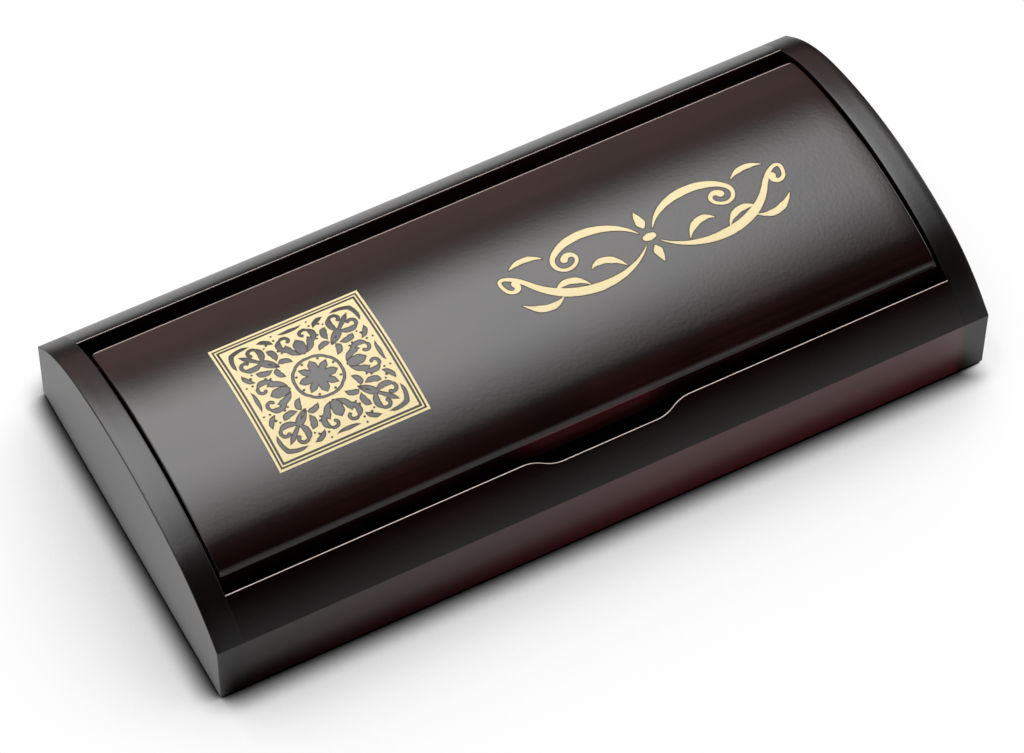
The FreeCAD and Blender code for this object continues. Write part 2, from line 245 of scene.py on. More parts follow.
def notch_depth(x):
    """Depth of the finger notch at x: full over the flat, and two equal tangent arcs down each ramp."""
    radius = (NOTCH_RAMP ** 2 + NOTCH_DEPTH ** 2) / (4 * NOTCH_DEPTH)
    into = np.clip(NOTCH_FLAT / 2 + NOTCH_RAMP - np.abs(x - NOTCH_OFFSET), 0, NOTCH_RAMP)
    rising = radius - np.sqrt(radius ** 2 - np.minimum(into, NOTCH_RAMP / 2) ** 2)
    topping = radius - np.sqrt(radius ** 2 - np.minimum(NOTCH_RAMP - into, NOTCH_RAMP / 2) ** 2)
    return np.where(into < NOTCH_RAMP / 2, rising, NOTCH_DEPTH - topping)


# Share of the pale painted highlight over the turn of a round from its top, in degrees
RAIL_GLINT = ((-45, -25, 5, 25), (0, 1, 1, 0))


def long_board(name, face, wall, x, notch, glinted):
    """Front or back board: face is the y of its outer face, wall that of its inner one.

    The section at each x is the outer face up to the arch, the arch to the inner edge, a small round of the
    edge, then the wall, set back by the notch above the notch's floor, with the groove for the bottom panel.
    A point of an arc is its centre plus the radius times the sine and the cosine of the slope there. The last
    argument scales the painted highlight along the small round.
    """
    side = math.copysign(1, face)
    top_wall = abs(wall) + notch                 # distances from the middle plane; the notch cuts outwards
    centre = top_wall + ARRIS_ROUND
    centre_z = arch(centre, ARRIS_ROUND)
    lean = arch_slope(centre, ARRIS_ROUND)
    sweep = between(np.full_like(x, SPRING_ANGLE), lean, 26)
    on_crown = sweep <= CROWN_HALF_ANGLE
    radius, hub_y, hub_z = (np.where(on_crown, a, b) for a, b in
                            ((CROWN_R, FLANK_R), (0.0, FLANK_CY), (CROWN_CZ, FLANK_CZ)))
    turn = between(lean, np.full_like(x, -math.pi / 2), 8)[:, 1:]
    ones = np.ones_like(x)[:, None]
    ys = [ones * HALF_WIDTH, hub_y + radius * np.sin(sweep), centre[:, None] + ARRIS_ROUND * np.sin(turn),
          top_wall[:, None], ones * abs(wall), ones * abs(wall), ones * (abs(wall) + GROOVE_DEPTH),
          ones * (abs(wall) + GROOVE_DEPTH), ones * abs(wall), ones * abs(wall)]
    zs = [ones * WOOD_BOTTOM, hub_z + radius * np.cos(sweep), centre_z[:, None] + ARRIS_ROUND * np.cos(turn),
          ones * NOTCH_FLOOR, ones * NOTCH_FLOOR, ones * GROOVE_HIGH, ones * GROOVE_HIGH,
          ones * GROOVE_LOW, ones * GROOVE_LOW, ones * WOOD_BOTTOM]
    y, z = np.concatenate(ys, 1) * side, np.concatenate(zs, 1)
    rings = np.stack([np.broadcast_to(x[:, None], y.shape), y, z], -1)
    # Painted highlight: a pale line along the small round of the inner edge
    wear = np.zeros(y.shape)
    first = 1 + sweep.shape[1]
    wear[:, first:first + turn.shape[1]] = glinted * np.interp(np.degrees(turn), *RAIL_GLINT)
    return tube_of_rings(name, rings, wear)


# ---------------------------------------------------------------- lid
def lid_plan():
    """Plan of the lid as rows from back to front and columns from left to right.

    Row ends follow the rounded back corner, then the straight side; the last row is the front edge.
    """
    corner = np.linspace(0, math.pi / 2, 10)
    straight = np.linspace(LID_BACK - LID_CORNER, LID_FRONT + LID_NOSE + 0.3 * MM, 92)
    half = np.concatenate([LID_X - LID_CORNER + LID_CORNER * np.sin(corner), np.full(len(straight), LID_X)])
    y = np.concatenate([LID_BACK - LID_CORNER + LID_CORNER * np.cos(corner), straight[1:], [LID_FRONT]])
    from_side = np.array([0, 0.6, 1.2, 1.9, 2.6, 3.4, 4.2, 5.1, 6.2]) * MM
    share = 1 - from_side / LID_X
    x = half[:, None] * np.concatenate([-share, np.linspace(-0.92, 0.92, 24), share[::-1]])
    return np.stack([x, np.broadcast_to(y[:, None], x.shape)], -1)


def rim(grid):
    """Points around a grid, clockwise seen from above, from the back left corner."""
    return np.concatenate([grid[0], grid[1:, -1], grid[-1, -2::-1], grid[-2:0:-1, 0]])


def lid_top(spot):
    """Height of the lid's outer face: LID_RECESS under the arch, with a soft fall-off towards both sides.

    The fall-off grows with the square of the way into LID_ROLL's reach, up to its drop at the side.
    """
    reach, drop = LID_ROLL
    beyond = np.maximum(np.abs(spot[..., 0]) - (LID_X - reach), 0) / reach
    return arch(spot[..., 1], LID_RECESS) - drop * beyond ** 2


# Share of the pale painted highlight over the angle of the lid's back round from its side, in degrees
LID_BACK_GLINT = ((48, 66, 80, 90), (0, 0.6, 0.6, 0.25))


def lid_board(name):
    """Lid: its plan under the arch, LID_RECESS down, with a quarter round along every upper edge.

    A rim point at angle t of the round stands inside the plan's edge by its reach times 1 - cos t, and lies
    below the arch by its depth times 1 - sin t. The front edge has a longer and deeper round than the rest.
    The rounded back edge has a painted highlight, a pale line, which fades out past the back corners.
    """
    plan = lid_plan()
    rows, columns = plan.shape[:2]
    outer = rim(plan)
    depth = np.interp(outer[:, 1], (LID_BACK - LID_CORNER, LID_BACK), (LID_ROUND, LID_BACK_ROUND))
    reach = mitres(outer) * depth[:, None]
    front = np.isclose(outer[:, 1], LID_FRONT)
    reach[front, 1] = LID_NOSE
    depth[front] = LID_NOSE_DEPTH
    corner = front & (np.abs(outer[:, 0]) > LID_X - 1e-6)
    depth[corner] = (LID_ROUND + LID_NOSE_DEPTH) / 2
    inner = outer + reach
    back, right = inner[:columns], inner[columns - 1:columns + rows - 1]
    front_row = inner[columns + rows - 2:2 * columns + rows - 2][::-1]
    left = np.concatenate([inner[:1], inner[2 * columns + rows - 2:][::-1], front_row[:1]])
    part = (plan[-1, :, 0] / LID_X + 1)[:, None] / 2
    top = left[:, None] * (1 - part) + right[:, None] * part
    top[0], top[-1] = back, front_row
    points = [np.concatenate([top, lid_top(top)[..., None]], -1).reshape(-1, 3)]
    faces = grid_faces(rows, columns)
    # Painted highlight: a pale line along the rounded back edge, fading out past the back corners
    at_back = np.clip((outer[:, 1] - LID_BACK) / (0.4 * LID_CORNER) + 1.5, 0, 1)
    wear = [np.repeat([LID_BACK_GLINT[1][-1], 0.0], [columns, (rows - 1) * columns])]
    rings = []
    for t in np.linspace(math.pi / 2, 0, 8):
        spot = outer + reach * (1 - math.cos(t))
        rings.append(np.column_stack([spot, lid_top(spot) - depth * (1 - math.sin(t))]))
        wear.append(at_back * np.interp(math.degrees(t), *LID_BACK_GLINT))
    rings.append(np.column_stack([outer, arch(outer[:, 1], LID_RECESS + LID_THICKNESS)]))
    wear.append(np.zeros(len(outer) + rows * columns))
    faces += grid_faces(len(rings), len(outer), start=rows * columns, wrap=True)
    points.append(np.concatenate(rings))
    under = np.concatenate([plan, arch(plan[..., 1], LID_RECESS + LID_THICKNESS)[..., None]], -1)
    faces += grid_faces(rows, columns, start=rows * columns + len(rings) * len(outer))
    points.append(under.reshape(-1, 3))
    return new_piece(name, np.concatenate(points), faces, np.concatenate(wear))


# ---------------------------------------------------------------- gold inlays
def pen_stroke(u, v, path, widths):
    """Signed distance, positive inside, from points (u, v) to a pen stroke.

    The stroke follows the cubic Bezier curve of the four points in path, cut into straight lengths. Its half
    width runs linearly through widths along the curve: the distance is the largest, over the lengths, of the
    half width at the nearest spot of the length less the distance to that spot.
    """
    t = np.linspace(0, 1, 25)[:, None]
    a, b, c, d = (np.array(p, float) for p in path)
    line = (1 - t) ** 3 * a + 3 * t * (1 - t) ** 2 * b + 3 * t ** 2 * (1 - t) * c + t ** 3 * d
    half = np.interp(t[:, 0], np.linspace(0, 1, len(widths)), widths)
    best = np.full(u.shape, OUTSIDE)
    for (x, y), (dx, dy), r, dr in zip(line, np.diff(line, axis=0), half, np.diff(half)):
        part = np.clip(((u - x) * dx + (v - y) * dy) / max(dx * dx + dy * dy, 1e-12), 0, 1)
        best = np.maximum(best, r + part * dr - np.hypot(u - x - part * dx, v - y - part * dy))
    return best


def inlay(name, field, centre, half_u, half_v, step, lift, depth):
    """Thin gold inlay where field(u, v) is positive, bent onto the lid.

    The points of a grid of this step that lie next to the edge of the field are moved onto it along its
    gradient. The cells whose middle is inside are kept, lift above the lid's arch, with the same cells depth
    below it and a wall around them. The mesh attribute "inside" is the distance from the edge in millimetres.
    """
    nu, nv = int(round(2 * half_u / step)) + 1, int(round(2 * half_v / step)) + 1
    u, v = np.meshgrid(np.linspace(-half_u, half_u, nu), np.linspace(-half_v, half_v, nv))
    for _ in range(3):
        f = field(u, v)
        e = step * 0.05
        slope_u = (field(u + e, v) - field(u - e, v)) / (2 * e)
        slope_v = (field(u, v + e) - field(u, v - e)) / (2 * e)
        square = np.maximum(slope_u ** 2 + slope_v ** 2, 1e-6)
        near = np.abs(f) < 0.55 * step * np.sqrt(square)
        u = np.where(near, u - f * slope_u / square, u)
        v = np.where(near, v - f * slope_v / square, v)
    f = field(u, v)
    quads = np.array(grid_faces(nv, nu))
    middle_u, middle_v = u.ravel()[quads].mean(1), v.ravel()[quads].mean(1)
    kept = quads[field(middle_u, middle_v) > 0]
    used, index = np.unique(kept, return_inverse=True)
    kept = index.reshape(-1, 4)
    x, y = centre[0] + u.ravel()[used], centre[1] + v.ravel()[used]
    top = np.stack([x, y, arch(y, LID_RECESS) + lift], -1)
    below = np.stack([x, y, arch(y, LID_RECESS) - depth], -1)
    sides = np.concatenate([kept[:, [k, (k + 1) % 4]] for k in range(4)])
    code = np.sort(sides, 1) @ np.array([len(used), 1])
    _, first, count = np.unique(code, return_index=True, return_counts=True)
    border = sides[first[count == 1]]
    n = len(used)
    walls = np.stack([border[:, 0], border[:, 1], border[:, 1] + n, border[:, 0] + n], -1)
    faces = kept.tolist() + (kept[:, ::-1] + n).tolist() + walls[:, ::-1].tolist()
    mesh = bpy.data.meshes.new(name)
    mesh.from_pydata(np.concatenate([top, below]).tolist(), [], faces)
    inside = mesh.attributes.new("inside", "FLOAT", "POINT")
    inside.data.foreach_set("value", np.tile(np.maximum(f.ravel()[used], 0) / MM, 2).astype(np.float32))
    mesh.validate()
    mesh.shade_smooth()
    mesh.set_sharp_from_angle(angle=SHARP_ANGLE)
    piece = bpy.data.objects.new(name, mesh)
    bpy.context.scene.collection.objects.link(piece)
    return piece


def arabesque(u, v):
    """Distance inside the dark figures of the crest, one eighth of a square repeated by mirrors and turns.

    u and v run from -1 to 1. Leaves and tendrils are pen strokes, and the berries are discs. A spot is folded
    into the eighth by taking the larger and the smaller of |u| and |v| for its two coordinates.
    """
    a, b = np.maximum(np.abs(u), np.abs(v)), np.minimum(np.abs(u), np.abs(v))
    figure = np.full(u.shape, OUTSIDE)
    for path, widths in CREST_STROKES:
        figure = np.maximum(figure, pen_stroke(a, b, path, widths))
    for x, y, r in CREST_BERRIES:
        figure = np.maximum(figure, r - np.hypot(a - x, b - y))
    return figure


# Strokes of the eighth with 0 <= v <= u <= 1: four curve points, then half widths along the curve
CREST_STROKES = (
    (((0.0, 0.0), (0.10, 0.0), (0.20, 0.0), (0.30, 0.0)), (0.05, 0.075, 0.07, 0.0)),
    (((0.0, 0.0), (0.07, 0.07), (0.14, 0.14), (0.22, 0.22)), (0.04, 0.055, 0.06, 0.0)),
    (((0.345, 0.0), (0.36, 0.10), (0.30, 0.22), (0.245, 0.245)), (0.024, 0.026, 0.026, 0.024)),
    (((0.42, 0.0), (0.52, 0.02), (0.62, 0.02), (0.74, 0.0)), (0.0, 0.07, 0.075, 0.0)),
    (((0.45, 0.05), (0.52, 0.14), (0.62, 0.20), (0.72, 0.16)), (0.01, 0.05, 0.055, 0.0)),
    (((0.56, 0.12), (0.62, 0.28), (0.78, 0.30), (0.84, 0.18)), (0.012, 0.045, 0.05, 0.012)),
    (((0.84, 0.18), (0.86, 0.10), (0.78, 0.06), (0.75, 0.11)), (0.03, 0.03, 0.028, 0.03)),
    (((0.93, 0.0), (0.93, 0.06), (0.92, 0.12), (0.955, 0.20)), (0.035, 0.03, 0.02, 0.0)),
    (((0.38, 0.20), (0.46, 0.24), (0.50, 0.34), (0.44, 0.40)), (0.0, 0.045, 0.05, 0.0)),
    (((0.40, 0.40), (0.52, 0.44), (0.58, 0.54), (0.58, 0.58)), (0.012, 0.03, 0.045, 0.05)),
    (((0.50, 0.40), (0.60, 0.36), (0.70, 0.38), (0.74, 0.46)), (0.0, 0.05, 0.055, 0.0)),
    (((0.60, 0.58), (0.68, 0.52), (0.80, 0.50), (0.86, 0.58)), (0.02, 0.05, 0.05, 0.018)),
    (((0.86, 0.58), (0.90, 0.66), (0.82, 0.72), (0.77, 0.67)), (0.03, 0.032, 0.03, 0.034)),
    (((0.80, 0.30), (0.88, 0.34), (0.94, 0.42), (0.93, 0.52)), (0.0, 0.04, 0.04, 0.0)),
    (((0.93, 0.60), (0.96, 0.70), (0.95, 0.80), (0.90, 0.90)), (0.0, 0.03, 0.035, 0.04)),
    (((0.62, 0.62), (0.70, 0.70), (0.76, 0.76), (0.84, 0.84)), (0.03, 0.04, 0.04, 0.0)),
)
CREST_BERRIES = ((0.28, 0.12, 0.022), (0.66, 0.30, 0.022), (0.60, 0.27, 0.018), (0.70, 0.24, 0.018),
                 (0.84, 0.40, 0.022), (0.80, 0.45, 0.018), (0.87, 0.27, 0.02), (0.96, 0.27, 0.018))

CREST_HALF = (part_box("crest_fill")[1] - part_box("crest_fill")[0]) / 2
CREST_CENTRE = (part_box("crest_fill")[1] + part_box("crest_fill")[0]) / 2
OUTER_LINE = 0.55 * MM                 # width of the gold line around the crest
INNER_LINE = (1.05 * MM, 1.35 * MM)    # the line inside it, from the crest's edge inwards
PANEL_INSET = 1.95 * MM                # where its gold field begins
FIGURE_MARGIN = 0.4 * MM               # how far from its edge the figures in that field end
RIM_SHADE = 0.24 * MM                     # width of the dark rim painted round the gold, as the shade of the engraving's walls


def crest_field(u, v):
    """Distance inside the crest and its rims of painted shade: two lines along its edge, a panel less its
    figures.
    """
    edge = np.minimum(CREST_HALF.x - np.abs(u), CREST_HALF.y - np.abs(v))
    outer = OUTER_LINE - edge
    inner = np.minimum(edge - INNER_LINE[0], INNER_LINE[1] - edge)
    scale_u, scale_v = (half - PANEL_INSET - FIGURE_MARGIN for half in (CREST_HALF.x, CREST_HALF.y))
    panel = np.minimum(edge - PANEL_INSET, -arabesque(u / scale_u, v / scale_v) * scale_v)
    return np.maximum(np.maximum(outer, inner), panel) + RIM_SHADE


SCROLL_HALF = (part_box("scroll_fill")[1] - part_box("scroll_fill")[0]) / 2
SCROLL_CENTRE = (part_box("scroll_fill")[1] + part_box("scroll_fill")[0]) / 2
# Strokes to the right of its middle, in millimetres: four curve points, then half widths along the curve
SWASH_STROKES = (
    (((1.9, -2.4), (9.0, -9.8), (24.5, -9.4), (31.0, 0.1)), (0.15, 0.7, 1.2, 1.2, 0.75)),
    (((31.0, 0.1), (34.0, 4.6), (38.2, 6.2), (36.9, 1.8)), (0.75, 0.5, 0.48)),
    (((36.9, 1.8), (36.1, -0.9), (33.0, -0.2), (34.0, 2.0)), (0.48, 0.6, 0.95)),
    (((1.9, 1.6), (6.0, 8.4), (17.5, 9.8), (22.6, 4.8)), (0.15, 0.8, 1.2, 1.1, 0.7)),
    (((22.6, 4.8), (25.4, 1.9), (21.6, -1.9), (18.4, 1.1)), (0.7, 0.5, 0.48)),
    (((18.4, 1.1), (16.8, 3.0), (19.4, 4.9), (20.7, 2.9)), (0.48, 0.6, 0.95)),
    (((8.4, -5.0), (10.5, -1.3), (14.0, -0.4), (16.2, -2.4)), (0.15, 0.95, 0.9, 0.12)),
    (((18.4, -6.0), (20.6, -2.6), (24.2, -2.2), (26.4, -4.0)), (0.15, 0.9, 0.85, 0.12)),
    (((25.6, -6.2), (28.6, -8.3), (32.2, -7.6), (35.2, -4.2)), (0.15, 0.9, 0.95, 0.12)),
    (((25.0, 5.6), (27.6, 7.8), (31.0, 7.6), (33.4, 6.2)), (0.12, 0.8, 0.75, 0.12)),
    (((0.0, 2.6), (0.0, 4.0), (0.0, 5.6), (0.0, 7.6)), (0.35, 1.2, 0.85, 0.12)),
    (((0.0, -3.4), (0.0, -4.7), (0.0, -6.2), (0.0, -7.9)), (0.35, 1.15, 0.75, 0.12)),
    (((0.0, -0.4), (0.3, -0.4), (0.6, -0.4), (0.9, -0.4)), (1.1, 0.85)),
)


def swash_field(u, v):
    """Distance inside the swash and its rim of painted shade: pen strokes, the same to the left and to the
    right.

    Two crossed waves make the edge faintly uneven, as hand-wiped paint is.
    """
    a, b = np.abs(u) / MM, v / MM
    best = np.full(u.shape, OUTSIDE)
    for path, widths in SWASH_STROKES:
        best = np.maximum(best, pen_stroke(a, b, path, widths))
    return (best + 0.03 * np.sin(u / (0.7 * MM)) * np.sin(b / 0.6 + a / 1.7)) * MM + 0.7 * RIM_SHADE


# ---------------------------------------------------------------- felt
FELT_STEP = 2.5 * MM                   # spacing of the points on a felt surface
FELT_WAVES = 5
FELT_WAVE_LENGTH = 14 * MM


def soft_block(name, low, high, radius, wave, seed):
    """Block with rounded edges, from a box whose faces are grids of a few millimetres.

    Each of their points is drawn to the nearest point of the box inside it, then pushed out by the radius.
    wave sinks the surface by a sum of slow sines in random directions, as glued felt is never quite flat.
    """
    low, high = np.array(low, float), np.array(high, float)
    half, centre = (high - low) / 2, (high + low) / 2
    radius = min(radius, half.min() * 0.95)

    def along(size):
        """Places along a side of half length size, closer together over the rounds at its ends."""
        ramp = radius * (1 - np.cos(np.linspace(0, math.pi / 2, 5)))[:-1]
        middle = np.linspace(radius, 2 * size - radius, max(2, int(2 * size / FELT_STEP)))
        return np.concatenate([ramp, middle, (2 * size - ramp)[::-1]]) - size

    points, faces, start = [], [], 0
    for axis in range(3):
        first, second = [k for k in range(3) if k != axis]
        p, q = along(half[first]), along(half[second])
        for sign in (-1, 1):
            grid = np.zeros((len(p), len(q), 3))
            grid[..., axis] = sign * half[axis]
            grid[..., first], grid[..., second] = p[:, None], q[None, :]
            faces += grid_faces(len(p), len(q), start)
            start += len(p) * len(q)
            points.append(grid.reshape(-1, 3))
    points = np.concatenate(points)
    core = np.clip(points, -(half - radius), half - radius)
    away = points - core
    length = np.maximum(np.linalg.norm(away, axis=1), 1e-12)[:, None]
    points = core + radius * away / length
    rng = np.random.default_rng(seed)
    for _ in range(FELT_WAVES):
        k = rng.normal(0, 2 * math.pi / FELT_WAVE_LENGTH, 3)
        shift = wave / FELT_WAVES * np.sin(points @ k + rng.uniform(0, 6.3))
        points -= np.abs(shift)[:, None] * away / length
    return new_piece(name, points + centre, faces)


# ---------------------------------------------------------------- materials
def colour(code):
    """Linear RGBA of an sRGB hex colour."""
    parts = [int(code[k:k + 2], 16) / 255 for k in (1, 3, 5)]
    return [p / 12.92 if p <= 0.04045 else ((p + 0.055) / 1.055) ** 2.4 for p in parts] + [1.0]


WHITE = [1.0, 1.0, 1.0, 1.0]


def greys(levels):
    """Stops of a colour ramp from pairs of a position and a grey level."""
    return [(position, [level] * 3 + [1]) for position, level in levels]


def node(tree, kind, inputs=None, **settings):
    """Adds a node.

    Each input is a value or a link. settings are the node's properties, and stops are those of a colour ramp.
    """
    new = tree.nodes.new(kind)
    for key, value in settings.items():
        if key == "stops":
            while len(new.color_ramp.elements) < len(value):
                new.color_ramp.elements.new(0.5)
            for element, (place, tone) in zip(new.color_ramp.elements, value):
                element.position = place
                element.color = tone
        else:
            setattr(new, key, value)
    for key, value in (inputs or {}).items():
        if isinstance(value, bpy.types.NodeSocket):
            tree.links.new(value, new.inputs[key])
        else:
            new.inputs[key].default_value = value
    return new


def new_material(name):
    """Empty node material with its output node."""
    material = bpy.data.materials.new(name)
    material.use_nodes = True
    material.node_tree.nodes.clear()
    return material, material.node_tree, node(material.node_tree, "ShaderNodeOutputMaterial")


def lacquered_wood(name, deep, warm, lit_face_red, red_faces, red_along, grain, softness):
    """Stained hardwood under a polished clear lacquer.

    The stain is almost black, with long faint streaks of red-brown along the axis grain. The upright faces
    are painted a lighter red as painted light, for the glow that the bright table throws onto them: those at
    the front where red_faces is MULTIPLY, and those at the back too where it is ABSOLUTE. red_along gives the
    share of that red over the length of the box, from its left end to its right. Along the rounded edges a
    pale colour is painted in as a highlight. The lacquer gives a clear mirror of some softness, broken up by
    a fine orange peel from the spray gun.
    """
    material, tree, output = new_material(name)
    coordinates = node(tree, "ShaderNodeTexCoord")
    place = coordinates.outputs["Object"]
    # Bands of growth rings, which lie 1 to 2 mm apart; pores are too fine to show
    along_grain, across_grain = 1 / (70 * MM), 1 / (1.3 * MM)
    scale = [along_grain if axis == grain else across_grain for axis in "XYZ"]
    streaks = node(tree, "ShaderNodeMapping", {"Vector": place, "Scale": scale})
    figure = node(tree, "ShaderNodeTexNoise", {"Vector": streaks.outputs[0], "Scale": 1.0, "Detail": 4.0,
                                               "Roughness": 0.6, "Distortion": 0.4})
    patches = node(tree, "ShaderNodeTexNoise", {"Vector": place, "Scale": 1 / (28 * MM), "Detail": 2.0})
    blend = node(tree, "ShaderNodeMath", {0: figure.outputs["Fac"], 1: patches.outputs["Fac"]},
                 operation="MULTIPLY")
    share = node(tree, "ShaderNodeMapRange", {"Value": blend.outputs[0], "From Min": 0.1, "From Max": 0.42})
    stain = node(tree, "ShaderNodeMix", {"Factor": share.outputs[0], "A": colour(deep), "B": colour(warm)},
                 data_type="RGBA")
    facing = node(tree, "ShaderNodeSeparateXYZ", {0: coordinates.outputs["Normal"]})
    # Painted light: the upright faces are painted a lighter red, for the glow of the bright table on them
    front = node(tree, "ShaderNodeMath", {0: facing.outputs["Y"], 1: -1.0}, operation=red_faces)
    upright = node(tree, "ShaderNodeMapRange", {"Value": front.outputs[0], "From Min": 0.86,
                                                "From Max": 0.96})
    spot = node(tree, "ShaderNodeSeparateXYZ", {0: place})
    along = node(tree, "ShaderNodeMapRange", {"Value": spot.outputs["X"], "From Min": -HALF_LENGTH,
                                              "From Max": HALF_LENGTH})
    red = node(tree, "ShaderNodeValToRGB", {"Fac": along.outputs[0]}, stops=greys(red_along))
    painted_glow = node(tree, "ShaderNodeMath", {0: upright.outputs[0], 1: red.outputs["Color"]},
                   operation="MULTIPLY")
    face = node(tree, "ShaderNodeMix", {"Factor": painted_glow.outputs[0], "A": stain.outputs["Result"],
                                        "B": colour(lit_face_red)}, data_type="RGBA")
    # Painted highlight: a pale colour along the rounded edges, where they would mirror the soft box
    wear = node(tree, "ShaderNodeAttribute", attribute_name="wear")
    glinted = node(tree, "ShaderNodeMix", {"Factor": wear.outputs["Fac"], "A": face.outputs["Result"],
                                          "B": colour("#D6C4BC")}, data_type="RGBA")
    peel = node(tree, "ShaderNodeTexNoise", {"Vector": place, "Scale": 1 / (0.9 * MM), "Detail": 1.0})
    bump = node(tree, "ShaderNodeBump", {"Height": peel.outputs["Fac"], "Strength": 0.5,
                                         "Distance": 0.02 * MM})
    shader = node(tree, "ShaderNodeBsdfPrincipled", {
        "Base Color": glinted.outputs["Result"], "Roughness": 0.6, "Specular IOR Level": 0.0, "IOR": 1.5,
        "Coat Weight": 1.0, "Coat Roughness": softness, "Coat IOR": 1.5,
        "Normal": bump.outputs[0], "Coat Normal": bump.outputs[0]})
    tree.links.new(shader.outputs[0], output.inputs["Surface"])
    return material


def gold_paint():
    """Gold paint wiped into laser engraving: flat pale gold, with a thin dark brown rim painted round every
    figure as the shade of the engraving's walls.
    """
    material, tree, output = new_material("gold_paint_in_engraving")
    place = node(tree, "ShaderNodeTexCoord").outputs["Object"]
    inside = node(tree, "ShaderNodeAttribute", attribute_name="inside")
    grit = node(tree, "ShaderNodeTexNoise", {"Vector": place, "Scale": 1 / (0.35 * MM), "Detail": 2.0})
    tone = node(tree, "ShaderNodeMix", {"Factor": grit.outputs["Fac"], "A": colour("#E0CA8E"),
                                        "B": colour("#F4E8BE")}, data_type="RGBA")
    # Painted shade: a dark brown rim along the edge of the gold, for the walls of the engraving
    rim_shade_share = node(tree, "ShaderNodeMapRange", {"Value": inside.outputs["Fac"], "From Min": 0.16,
                                                  "From Max": 0.28})
    paint = node(tree, "ShaderNodeMix", {"Factor": rim_shade_share.outputs[0], "A": colour("#2B221A"),
                                         "B": tone.outputs["Result"]}, data_type="RGBA")
    bump = node(tree, "ShaderNodeBump", {"Height": grit.outputs["Fac"], "Strength": 0.3,
                                         "Distance": 0.02 * MM})
    shader = node(tree, "ShaderNodeBsdfPrincipled", {
        "Base Color": paint.outputs["Result"], "Roughness": 0.5, "IOR": 1.45, "Normal": bump.outputs[0]})
    tree.links.new(shader.outputs[0], output.inputs["Surface"])
    return material


def felt(name, tone, lint):
    """Needled wool felt: matt, with a nap of short fibres that catch the light at a grazing angle."""
    material, tree, output = new_material(name)
    place = node(tree, "ShaderNodeTexCoord").outputs["Object"]
    # Tufts of fibres; a single fibre is 0.03 mm thick and too fine to show
    fibres = node(tree, "ShaderNodeTexNoise", {"Vector": place, "Scale": 1 / (0.5 * MM), "Detail": 5.0,
                                               "Roughness": 0.75, "Distortion": 1.5})
    clumps = node(tree, "ShaderNodeTexNoise", {"Vector": place, "Scale": 1 / (6 * MM), "Detail": 2.0})
    both = node(tree, "ShaderNodeMath", {0: fibres.outputs["Fac"], 1: clumps.outputs["Fac"]},
                operation="MULTIPLY")
    share = node(tree, "ShaderNodeMapRange", {"Value": both.outputs[0], "From Min": 0.12, "From Max": 0.42})
    cloth = node(tree, "ShaderNodeMix", {"Factor": share.outputs[0], "A": colour(tone), "B": colour(lint)},
                 data_type="RGBA")
    bump = node(tree, "ShaderNodeBump", {"Height": fibres.outputs["Fac"], "Strength": 0.8,
                                         "Distance": 0.25 * MM})
    shader = node(tree, "ShaderNodeBsdfPrincipled", {
        "Base Color": cloth.outputs["Result"], "Roughness": 0.95, "Specular IOR Level": 0.2,
        "Sheen Weight": 0.25, "Sheen Roughness": 0.5, "Sheen Tint": colour("#8C8A90"),
        "Normal": bump.outputs[0]})
    tree.links.new(shader.outputs[0], output.inputs["Surface"])
    return material


def drawn_brass():
    """Brass rod as drawn through a die: brown with tarnish, with fine lines along its length."""
    material, tree, output = new_material("drawn_brass")
    place = node(tree, "ShaderNodeTexCoord").outputs["Object"]
    # The lines are drawn 0.12 mm apart, coarser than a die leaves them, so that they show
    across = 1 / (0.12 * MM)
    lines = node(tree, "ShaderNodeMapping", {"Vector": place, "Scale": [1 / (12 * MM), across, across]})
    draw = node(tree, "ShaderNodeTexNoise", {"Vector": lines.outputs[0], "Scale": 1.0, "Detail": 2.0})
    tone = node(tree, "ShaderNodeMix", {"Factor": draw.outputs["Fac"], "A": colour("#2C2014"),
                                        "B": colour("#43331E")}, data_type="RGBA")
    rough = node(tree, "ShaderNodeMapRange", {"Value": draw.outputs["Fac"], "To Min": 0.35, "To Max": 0.5})
    shader = node(tree, "ShaderNodeBsdfPrincipled", {
        "Base Color": tone.outputs["Result"], "Metallic": 1.0, "Roughness": rough.outputs[0]})
    tree.links.new(shader.outputs[0], output.inputs["Surface"])
    return material


def bare_beech():
    """Planed beech: pale, with short dark flecks along the grain. It is hidden in the joints of the case."""
    material, tree, output = new_material("planed_beech")
    place = node(tree, "ShaderNodeTexCoord").outputs["Object"]
    across = 1 / (1 * MM)
    stretched = node(tree, "ShaderNodeMapping", {"Vector": place, "Scale": [1 / (30 * MM), across, across]})
    grain = node(tree, "ShaderNodeTexNoise", {"Vector": stretched.outputs[0], "Scale": 1.0, "Detail": 4.0})
    tone = node(tree, "ShaderNodeMix", {"Factor": grain.outputs["Fac"], "A": colour("#A87B4E"),
                                        "B": colour("#CDA577")}, data_type="RGBA")
    shader = node(tree, "ShaderNodeBsdfPrincipled", {"Base Color": tone.outputs["Result"], "Roughness": 0.6})
    tree.links.new(shader.outputs[0], output.inputs["Surface"])
    return material


# Share of the painted glow on the upright faces along the box: more towards the right, up to the joint with
# the end board, whose end grain took the dark stain
TO_THE_JOINT = ((0.0, 0.0), (0.58, 1.0), (0.960, 1.0), (0.973, 0.0))
